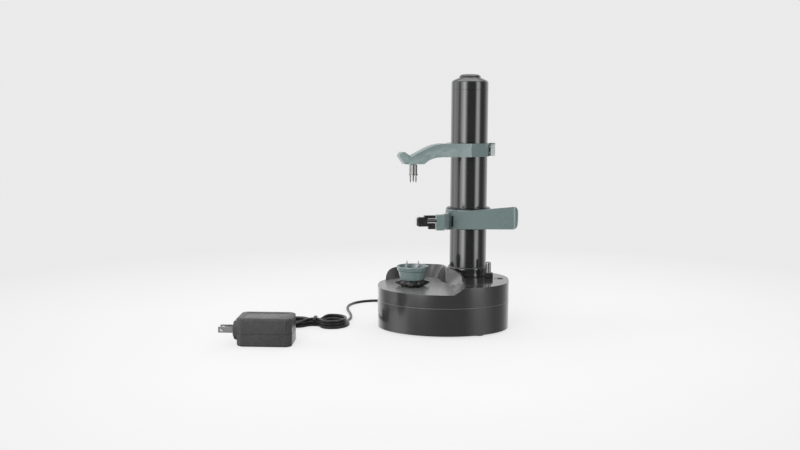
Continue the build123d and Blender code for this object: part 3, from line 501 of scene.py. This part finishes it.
def plug():
    grip = [(2.0, 0.32), (3.9, 0.32), (4.55, 0.9), (4.6, 2.4), (4.6, 4.1), (4.1, 4.3), (4.1, 5.1), (4.6, 5.3), (4.6, 6.6), (4.1, 6.8), (4.1, 7.6), (4.6, 7.8),
            (4.6, 9.1), (4.1, 9.3), (4.1, 10.1), (4.6, 10.3), (4.5, 12.2), (4.1, 13.2)]
    pts = grip + ribbed(14.0, 24.0, 3.9, 2.25, 6, 0.55, 1.6) + [(2.25, 24.0), (1.5, 24.0)]
    bm = lathe(pts, 56)
    soften(bm, 0.12 * MM, 30, 1)
    place(bm, P(*JACK), _j)
    ob = new_piece("lead_plug_grip", bm, "base", "cord_rubber")
    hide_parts("plug_overmould")
    return ob


def relief():
    pts = [(1.5, 0.0), (4.15, 0.0), (4.15, 1.4)] + ribbed(1.7, 16.0, 4.0, 2.25, 7, 0.6, 1.6) + [(2.25, 16.0), (1.5, 16.0)]
    bm = lathe(pts, 48)
    soften(bm, 0.12 * MM, 30, 1)
    place(bm, P(-176.0, -90.0, 9.0), Vector((0, 1, 0)))
    ob = new_piece("adapter_lead_relief", bm, "base", "cord_rubber")
    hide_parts("adapter_relief")
    return ob


def tie():
    """Wire tie round the waist of the hank, its two tails twisted together on top."""
    def band(t, x, out):
        a = 2 * math.pi * t
        n = 3.4
        c, s = math.cos(a), math.sin(a)
        hy, hz = 7.1 + out, 5.15 + out
        y = -12.0 + math.copysign(abs(c) ** (2 / n) * hy, c)
        z = 5.45 + math.copysign(abs(s) ** (2 / n) * hz, s)
        return P(x, y, min(11.05, max(0.12, z)))
    bm = bmesh.new()
    n = 64
    section = [(-1.9, 0.0), (-1.5, 0.26), (-0.55, 0.26), (-0.35, 0.58), (0.0, 0.68), (0.35, 0.58), (0.55, 0.26), (1.5, 0.26), (1.9, 0.0), (1.5, -0.12), (-1.5, -0.12)]
    rings = []
    for k in range(n):
        t = k / n
        skew = 0.5 * math.sin(2 * math.pi * t)
        rings.append([bm.verts.new(band(t, -151.0 + skew + sx, so + 0.25)) for sx, so in section])
    for i in range(n):
        a, b = rings[i], rings[(i + 1) % n]
        for k in range(len(section)):
            q = (k + 1) % len(section)
            bm.faces.new((a[k], a[q], b[q], b[k]))
    # two flat tails wound round each other, lying along the top
    for side in (0, 1):
        strip = []
        for k in range(26):
            u = k / 25
            ang = math.pi * side + u * 3.2 * math.pi
            cy = -12.0 - 1.6 + 9.0 * u - 2.4
            cz = 10.35
            r = 0.42
            ox, oz = r * math.cos(ang), r * math.sin(ang) * 0.6
            wx, wz = 0.85 * -math.sin(ang), 0.85 * math.cos(ang) * 0.28
            cx = -151.0 + 1.2 * u
            strip.append([P(cx + ox + wx * s, cy, min(11.1, cz + oz + wz * s + d)) for s, d in ((-1, -0.1), (1, -0.1), (1, 0.12), (-1, 0.12))])
        vs = [[bm.verts.new(p) for p in ring] for ring in strip]
        for a, b in zip(vs, vs[1:]):
            for k in range(4):
                q = (k + 1) % 4
                bm.faces.new((a[k], a[q], b[q], b[k]))
        bm.faces.new(vs[0][::-1])
        bm.faces.new(vs[-1])
    ob = new_piece("lead_tie", bm, "base", "cord_rubber", "black_plastic", 50)
    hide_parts("hank_tie")
    return ob


PLUG, RELIEF, TIE = plug(), relief(), tie()


# ------------------------------------------------------------------ adapter case
def octagon(x0, x1, y0, y1, z, inset, cut=5.0, arc=3):
    """Outline of the case at height z, inset from its box, with cut corners that are slightly rounded."""
    x0, x1, y0, y1 = x0 + inset, x1 - inset, y0 + inset, y1 - inset
    c = max(0.6, cut - inset * 0.586)
    corners = [(x0 + c, y0), (x1 - c, y0), (x1, y0 + c), (x1, y1 - c), (x1 - c, y1), (x0 + c, y1), (x0, y1 - c), (x0, y0 + c)]
    out = []
    n = len(corners)
    for i, (x, y) in enumerate(corners):
        ax, ay = corners[i - 1]
        bx, by = corners[(i + 1) % n]
        da, db = math.hypot(ax - x, ay - y), math.hypot(bx - x, by - y)
        s = min(1.1, 0.3 * min(da, db))
        pa, pb = (x + (ax - x) * s / da, y + (ay - y) * s / da), (x + (bx - x) * s / db, y + (by - y) * s / db)
        for k in range(arc + 1):
            t = k / arc
            qx = (1 - t) ** 2 * pa[0] + 2 * t * (1 - t) * x + t * t * pb[0]
            qy = (1 - t) ** 2 * pa[1] + 2 * t * (1 - t) * y + t * t * pb[1]
            out.append(P(qx, qy, z))
    return out


def adapter():
    x0, x1, y0, y1 = -222.0, -162.0, -132.0, -90.0
    levels = [(0.55, 7.6), (0.55, 7.2), (0.0, 6.9), (0.0, 1.7), (0.12, 1.2), (0.5, 0.62), (1.1, 0.2), (1.9, 0.0), (13.6, 0.0), (13.6, 0.0), (13.75, 0.38), (14.35, 0.38), (14.5, 0.0), (14.5, 0.0),
              (29.0, 0.0), (29.8, 0.18), (30.45, 0.6), (30.88, 1.2), (31.0, 1.7), (31.0, 6.9), (30.6, 7.2), (30.6, 7.6)]
    bm = loft([octagon(x0, x1, y0, y1, z, i) for z, i in levels])
    # plinth that carries the mains blades
    def plinth(x, g, z0=4.0, z1=27.0, h=15.0):
        ring = []
        for sy, sz in ((-1, -0.45), (-1, 0.45), (-0.55, 1), (0.55, 1), (1, 0.45), (1, -0.45), (0.55, -1), (-0.55, -1)):
            ring.append(P(x, -111.0 + sy * (h - g), 15.5 + sz * ((z1 - z0) / 2 - g)))
        return ring
    bm2 = loft([plinth(-220.5, 0.0), plinth(-222.6, 0.0), plinth(-223.0, 0.5), plinth(-226.2, 1.6), plinth(-226.9, 2.4), plinth(-226.9, 6.0), plinth(-226.5, 6.2), plinth(-226.5, 7.0)])
    me = bpy.data.meshes.new("tmp")
    bm2.to_mesh(me)
    bm2.free()
    bm.from_mesh(me)
    bpy.data.meshes.remove(me)
    # the collar that the lead's relief grows out of
    me = bpy.data.meshes.new("tmp")
    bm3 = lathe([(0.0, -1.0), (6.2, -1.0), (6.2, 0.5), (5.7, 1.0), (4.4, 1.0), (0.0, 1.0)], 40)
    place(bm3, P(-176.0, -91.0, 9.0), Vector((0, 1, 0)))
    bm3.to_mesh(me)
    bm3.free()
    bm.from_mesh(me)
    bpy.data.meshes.remove(me)
    ob = new_piece("adapter_case", bm, "base", "adapter_plastic", angle=28)
    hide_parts("adapter_body")
    return ob


CASE = adapter()

# ------------------------------------------------------------------ CAD nodes with their edges broken
SKINS = {
    # node: (width mm, angle, segments, material)
    "upper_shell": (0.55, 34, 3, None),
    "lower_shell": (0.45, 34, 2, None),
    "column_tube": (0.25, 40, 2, "column_black"),
    "column_cap": (0.35, 24, 2, "column_black"),
    "column_collar": (0.4, 30, 2, "column_black"),
    "post_guide": (0.3, 30, 2, "black_plastic"),
    "drive_hub": (0.35, 30, 2, "hub_black"),
    "food_cup": (0.4, 24, 3, None),
    "peel_arm": (0.5, 30, 3, None),
    "blade_head": (0.35, 30, 2, None),
    "blade": (0.08, 30, 1, None),
    "upper_arm": (0.6, 26, 3, None),
    "release_lever": (0.5, 30, 2, None),
    "carriage_sleeve": (0.2, 30, 2, None),
    "half_nut": (0.2, 30, 2, None),
    "rubber_feet": (0.35, 30, 2, None),
    "battery_door": (0.25, 30, 2, None),
    "gear_plate": (0.2, 30, 1, None),
    "adapter_prongs": (0.22, 30, 2, None),
    "switch_post": (0.25, 30, 2, None),
    "spindle": (0.3, 30, 2, None),
    "motor": (0.3, 30, 2, None),
    "circuit_board": (0.1, 30, 1, None),
    "micro_switch": (0.3, 30, 1, None),
    "spare_blades": (0.08, 30, 1, None),
    "dc_jack": (0.2, 30, 1, None),
}
DONE = {}
for node, (w, ang, seg, mat) in SKINS.items():
    DONE[node] = skin(node, w, ang, seg, True, mat)

# the coil under the switch post (on the real peeler it shortens as the post goes down) gets a mesh of its own
COIL = skin("post_spring", 0.03, 60, 1, True, None, flat=0)
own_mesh(COIL)


# ------------------------------------------------------------------ raised on and off marks on the deck
def marks():
    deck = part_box("column_collar")[0][2] / MM
    bm = bmesh.new()

    def bar(x0, x1, y0, y1, z0, z1):
        bot = [bm.verts.new(P(x, y, z0)) for x, y in ((x0, y0), (x1, y0), (x1, y1), (x0, y1))]
        g = 0.12
        top = [bm.verts.new(P(x, y, z1)) for x, y in ((x0 + g, y0 + g), (x1 - g, y0 + g), (x1 - g, y1 - g), (x0 + g, y1 - g))]
        bm.faces.new(bot[::-1])
        bm.faces.new(top)
        for k in range(4):
            q = (k + 1) % 4
            bm.faces.new((bot[k], bot[q], top[q], top[k]))

    bar(60.6, 61.9, 1.6, 9.4, deck - 0.2, deck + 0.45)
    n = 36
    rows = []
    for r, z in ((3.8, deck - 0.2), (3.68, deck + 0.45), (2.72, deck + 0.45), (2.6, deck - 0.2)):
        rows.append([bm.verts.new(P(67.2 + r * math.cos(2 * math.pi * k / n), 5.2 + 1.05 * r * math.sin(2 * math.pi * k / n), z)) for k in range(n)])
    for i in range(4):
        a, c = rows[i], rows[(i + 1) % 4]
        for k in range(n):
            q = (k + 1) % n
            bm.faces.new((a[k], a[q], c[q], c[k]))
    return new_piece("deck_marks", bm, "base", "gloss_black", "hub_black", 30)


marks()


# ------------------------------------------------------------------ bead along the joint of the two shells
def seam_bead():
    """The lip of the upper shell at the joint, in a lighter grey that paints a highlight line along the seam."""
    bm = bmesh.new()
    a, c, yc = 77.0, 65.75, 7.5
    path = []
    n = 96
    for k in range(n + 1):
        t = math.pi * k / n
        path.append((a * math.cos(t), yc + c * math.sin(t)))
    for k in range(n + 1):
        t = math.pi + math.pi * k / n
        path.append((a * math.cos(t), -yc + c * math.sin(t)))
    m = len(path)
    rows = []
    for i, (x, y) in enumerate(path):
        (xa, ya), (xb, yb) = path[i - 1], path[(i + 1) % m]
        tx, ty = xb - xa, yb - ya
        d = math.hypot(tx, ty)
        nx, ny = ty / d, -tx / d
        rows.append([bm.verts.new(P(x + nx * o, y + ny * o, z)) for o, z in ((-1.0, 32.75), (0.02, 32.75), (0.14, 32.9), (0.16, 33.1), (0.05, 33.28), (-1.0, 33.3))])
    for i in range(m):
        p, q = rows[i], rows[(i + 1) % m]
        for k in range(6):
            j = (k + 1) % 6
            bm.faces.new((p[k], p[j], q[j], q[k]))
    return new_piece("seam_bead", bm, "base", "gloss_black", "painted_seam_highlight", 40)


seam_bead()

# ------------------------------------------------------------------ the nodes that stay get a finish too
for node, ob in NODES.items():
    if ob.hide_render:
        continue
    ob.data.materials.clear()
    # the hub bush gets the darker bronze, painted shade for the gap under the hub
    ob.data.materials.append(MATS["painted_shade_bronze" if node == "hub_bush" else SLOT_OF[node]])

# ------------------------------------------------------------------ stage and light
def stage():
    bm = bmesh.new()
    rings = [0.0, 0.4, 0.9, 1.6, 3.0, 6.0, 12.0, 25.0]
    seg = 64
    centre = bm.verts.new((0, 0, -0.0001))
    prev = None
    for r in rings[1:]:
        ring = [bm.verts.new((r * math.cos(2 * math.pi * k / seg), r * math.sin(2 * math.pi * k / seg), -0.0001)) for k in range(seg)]
        for k in range(seg):
            q = (k + 1) % seg
            if prev is None:
                bm.faces.new((centre, ring[k], ring[q]))
            else:
                bm.faces.new((prev[k], ring[k], ring[q], prev[q]))
        prev = ring
    me = bpy.data.meshes.new("floor")
    bm.to_mesh(me)
    bm.free()
    ob = bpy.data.objects.new("floor", me)
    scene.collection.objects.link(ob)
    m = Mat("floor_paper")
    fine = m.noise(700.0, 3.0, 0.6)
    m.set(rough=0.9, spec=0.0, normal=m.bump(fine, 0.05, 0.0001))
    m.b.inputs["Emission Color"].default_value = (1.0, 1.0, 1.0, 1.0)
    far = m.node("ShaderNodeVectorMath", operation="LENGTH")
    m.put(m.co, far.inputs[0])
    away = far.outputs["Value"]
    m.put(m.ramp(away, 0.30, 0.75, FLOOR_GLOW, WORLD_SEEN), m.b.inputs["Emission Strength"])
    m.put(m.mix(m.ramp(away, 0.30, 0.75), m.mix(m.ramp(m.noise(3.0, 3.0), 0.3, 0.7), (0.135, 0.135, 0.135), (0.145, 0.145, 0.145)), (0.0, 0.0, 0.0)), m.b.inputs["Base Color"])
    clear = m.node("ShaderNodeBsdfTransparent")
    path = m.node("ShaderNodeLightPath")
    mix = m.node("ShaderNodeMixShader")
    m.put(m.math("MAXIMUM", m.geo.outputs["Backfacing"], path.outputs["Is Glossy Ray"]), mix.inputs[0])
    m.t.links.new(m.b.outputs[0], mix.inputs[1])
    m.t.links.new(clear.outputs[0], mix.inputs[2])
    m.t.links.new(mix.outputs[0], m.out.inputs[0])
    me.materials.append(m.m)


FLOOR_GLOW = 0.67
WORLD_FRONT, WORLD_BACK, WORLD_TOP, WORLD_SEEN, WORLD_LOW = 0.16, 0.95, 0.55, 0.825, 0.25
stage()


def world():
    w = bpy.data.worlds.new("studio")
    scene.world = w
    w.use_nodes = True
    t = w.node_tree
    t.nodes.clear()
    out = t.nodes.new("ShaderNodeOutputWorld")
    co = t.nodes.new("ShaderNodeTexCoord")
    sep = t.nodes.new("ShaderNodeSeparateXYZ")
    t.links.new(co.outputs["Generated"], sep.inputs[0])

    def ramp(sock, a, b, lo, hi):
        n = t.nodes.new("ShaderNodeMapRange")
        n.interpolation_type = "SMOOTHSTEP"
        t.links.new(sock, n.inputs["Value"])
        for k, v in (("From Min", a), ("From Max", b), ("To Min", lo), ("To Max", hi)):
            n.inputs[k].default_value = v
        return n.outputs[0]

    def op(kind, a, b):
        n = t.nodes.new("ShaderNodeMath")
        n.operation = kind
        for s, v in zip(n.inputs, (a, b)):
            if isinstance(v, (int, float)):
                s.default_value = v
            else:
                t.links.new(v, s)
        return n.outputs[0]

    depth = ramp(sep.outputs["Y"], -0.75, 0.55, WORLD_FRONT, WORLD_BACK)
    top = ramp(sep.outputs["Z"], 0.25, 0.95, 0.0, WORLD_TOP)
    low = ramp(sep.outputs["Z"], -0.10, 0.02, WORLD_LOW, 1.0)
    strength = op("MULTIPLY", op("ADD", depth, top), low)
    light = t.nodes.new("ShaderNodeBackground")
    light.inputs["Color"].default_value = (1.0, 1.0, 1.0, 1.0)
    t.links.new(strength, light.inputs["Strength"])
    seen = t.nodes.new("ShaderNodeBackground")
    seen.inputs["Color"].default_value = (WORLD_SEEN, WORLD_SEEN, WORLD_SEEN, 1.0)
    path = t.nodes.new("ShaderNodeLightPath")
    mix = t.nodes.new("ShaderNodeMixShader")
    t.links.new(path.outputs["Is Camera Ray"], mix.inputs[0])
    t.links.new(light.outputs[0], mix.inputs[1])
    t.links.new(seen.outputs[0], mix.inputs[2])
    t.links.new(mix.outputs[0], out.inputs[0])


world()


def softbox(name, azimuth, distance, height, width, tall, watts, aim=(0.02, 0.03, 0.16)):
    """Panel at a bearing from the column: 0 is towards the camera, positive to the picture's right."""
    a = math.radians(azimuth)
    loc = Vector((0.024 + distance * math.sin(a), 0.035 - distance * math.cos(a), height))
    li = bpy.data.lights.new(name, "AREA")
    li.shape = "RECTANGLE"
    li.size, li.size_y, li.energy = width, tall, watts
    ob = bpy.data.objects.new(name, li)
    scene.collection.objects.link(ob)
    ob.location = loc
    ob.rotation_mode = "QUATERNION"
    d = Vector(aim) - loc
    d.z = 0.0
    ob.rotation_quaternion = d.to_track_quat("-Z", "Y")
    ob.visible_camera = False
    ob.visible_glossy = False
    return ob


def screen(name, radius, levels, table):
    """Studio wall round the object that only its gloss sees: (bearing, glow) pairs, and (height, factor) pairs."""
    def glow(az):
        for (a0, g0), (a1, g1) in zip(table, table[1:]):
            if a0 <= az <= a1:
                return g0 + (g1 - g0) * (az - a0) / max(1e-6, a1 - a0)
        return table[-1][1]
    bm = bmesh.new()
    lay = bm.verts.layers.float_color.new("glow")
    n = 180
    cols = []
    for k in range(n + 1):
        az = -180.0 + 360.0 * k / n
        a = math.radians(az)
        col = []
        for z, f in levels:
            v = bm.verts.new((0.024 + radius * math.sin(a), 0.035 - radius * math.cos(a), z))
            g = glow(az) * f
            v[lay] = (g, g, g, 1.0)
            col.append(v)
        cols.append(col)
    for c0, c1 in zip(cols, cols[1:]):
        for k in range(len(levels) - 1):
            bm.faces.new((c0[k], c1[k], c1[k + 1], c0[k + 1]))
    me = bpy.data.meshes.new(name)
    bm.to_mesh(me)
    bm.free()
    ob = bpy.data.objects.new(name, me)
    scene.collection.objects.link(ob)
    m = Mat(name)
    at = m.node("ShaderNodeAttribute", attribute_name="glow")
    em = m.node("ShaderNodeEmission")
    em.inputs["Color"].default_value = (1.0, 1.0, 1.0, 1.0)
    m.put(at.outputs["Fac"], em.inputs["Strength"])
    m.t.links.new(em.outputs[0], m.out.inputs[0])
    m.m.cycles.emission_sampling = "NONE"
    me.materials.append(m.m)
    ob.visible_camera = ob.visible_diffuse = ob.visible_shadow = ob.visible_transmission = ob.visible_volume_scatter = False
    return ob


screen("studio_wall", 1.15, [(-0.112, 0.0), (-0.100, 1.0), (0.95, 1.0), (1.2, 0.0)],
       [(-180, 0.85), (-160, 0.85), (-150, 1.2), (-142, 1.35), (-126, 0.95), (-114, 1.0), (-103, 1.8), (-94, 1.5), (-85, 1.5), (-77, 1.35), (-70, 0.5), (-62, 0.5), (-55, 1.5), (-48, 2.5), (-41, 3.3),
        (-34.6, 4.5), (-28, 3.8), (-22, 1.9), (-15.5, 0.5), (-9.5, 0.08), (0, 0.07), (15, 0.07), (28, 0.08), (33, 0.15), (37, 0.6), (41, 2.0), (48, 3.2), (55, 3.2), (62, 2.3), (69, 0.45), (77, 0.2),
        (85, 0.15), (94, 0.18), (103, 0.35), (114, 0.7), (126, 1.1), (142, 1.3), (150, 1.1), (160, 0.8), (180, 0.85)])
screen("studio_apron", 1.15, [(-0.60, 0.3), (-0.45, 1.0), (-0.126, 1.0), (-0.116, 0.0)],
       [(-180, 1.0), (-150, 1.7), (-125, 1.1), (-108, 0.35), (-98, 0.4), (-88, 0.8), (-76, 1.1), (-60, 1.0), (-52, 0.4), (-40, 0.1), (0, 0.06), (30, 0.06), (40, 0.25), (50, 0.55), (64, 0.6), (76, 0.4), (90, 0.2),
        (110, 0.3), (125, 0.6), (150, 1.1), (180, 1.0)])
softbox("panel_left", -18, 1.15, 0.42, 0.55, 1.2, 22.5)
softbox("panel_right", 52, 1.15, 0.42, 0.46, 1.2, 2.0)
softbox("panel_side", -92, 1.1, 0.42, 0.50, 1.2, 7.0)
softbox("panel_back", 168, 1.2, 0.42, 0.95, 1.2, 13.0)
softbox("panel_back_right", 112, 1.2, 0.42, 0.50, 1.2, 4.0)
fill = bpy.data.lights.new("overhead", "AREA")
fill.shape, fill.size, fill.size_y, fill.energy = "RECTANGLE", 1.6, 1.2, 6.0
ov = bpy.data.objects.new("overhead", fill)
scene.collection.objects.link(ov)
ov.location = (-0.1, 0.2, 1.5)
ov.visible_camera = False
